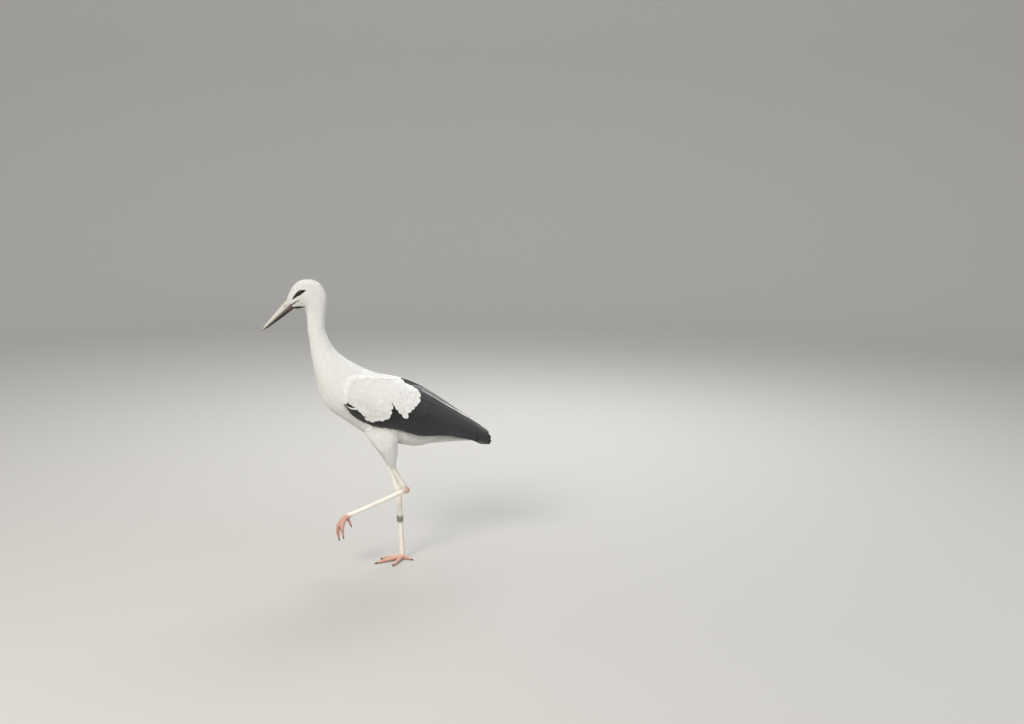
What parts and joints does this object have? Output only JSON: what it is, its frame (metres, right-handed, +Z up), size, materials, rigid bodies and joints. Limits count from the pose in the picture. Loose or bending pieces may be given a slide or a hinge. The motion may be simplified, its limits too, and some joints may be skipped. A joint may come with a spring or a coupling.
{
  "type": "white stork",
  "caption": "Life-size still model of a young white stork walking, one foot lifted, with folded white and black wings, a short dark bill and a plain band on its standing leg.",
  "frame": {"origin": "middle of the standing (right) foot's sole, at floor level", "axes": "+Z up; the bird walks and faces towards -X; its left side, the side of the lifted leg, is -Y"},
  "size_m": [0.769, 0.1812, 0.9953],
  "materials": {
    "white_feathers": "soft matte plumage",
    "black_flight_feathers": "black plumage with a faint sheen",
    "bill_horn": "satin horn, grey above and nearly black at its edges",
    "claw_horn": "dull dark horn",
    "leg_skin": "scaly skin under a chalky white crust",
    "foot_skin": "scaly reddish skin, a little chalky",
    "eye": "wet and glossy, dark brown iris",
    "ring_metal": "dull grey, plain"
  },
  "bodies": {
    "root": {"bill_lower": "bill_horn", "bill_upper": "bill_horn", "claw_toe_hind_left": "claw_horn", "claw_toe_hind_right": "claw_horn", "claw_toe_inner_left": "claw_horn", "claw_toe_inner_right": "claw_horn", "claw_toe_middle_left": "claw_horn", "claw_toe_middle_right": "claw_horn", "claw_toe_outer_left": "claw_horn", "claw_toe_outer_right": "claw_horn", "eye_left": "eye", "eye_right": "eye", "flight_feathers_left": "black_flight_feathers", "flight_feathers_right": "black_flight_feathers", "foot_left": "foot_skin", "foot_right": "foot_skin", "head": "white_feathers", "leg_ring": "ring_metal", "neck": "white_feathers", "shank_left": "white_feathers", "shank_right": "white_feathers", "tail": "white_feathers", "tarsus_left": "leg_skin", "tarsus_right": "leg_skin", "trunk": "white_feathers", "wing_coverts_left": "white_feathers", "wing_coverts_right": "white_feathers"}
  },
  "joints": []
}
